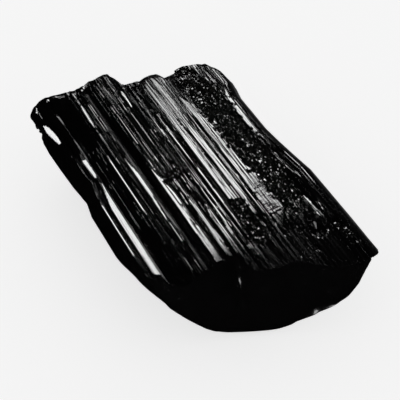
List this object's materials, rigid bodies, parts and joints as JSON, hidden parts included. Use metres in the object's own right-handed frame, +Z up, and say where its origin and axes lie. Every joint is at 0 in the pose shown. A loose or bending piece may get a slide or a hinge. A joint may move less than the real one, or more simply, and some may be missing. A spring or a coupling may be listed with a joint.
{
  "type": "tourmaline crystal",
  "caption": "Black tourmaline hand specimen: a striated trigonal prism with a ribbed, partly etched top face, broken ends and a flat base.",
  "frame": {"origin": "centre of the bounding box's bottom, on the plane that the crystal rests on", "axes": "+Z up from the base to the widest prism face, +Y along the c-axis towards the stepped back end, +X across the crystal towards its thin right rim"},
  "size_m": [0.0576, 0.0922, 0.0295],
  "materials": {
    "black_tourmaline": "glassy"
  },
  "bodies": {
    "root": {"tourmaline_crystal": "black_tourmaline"}
  },
  "joints": []
}
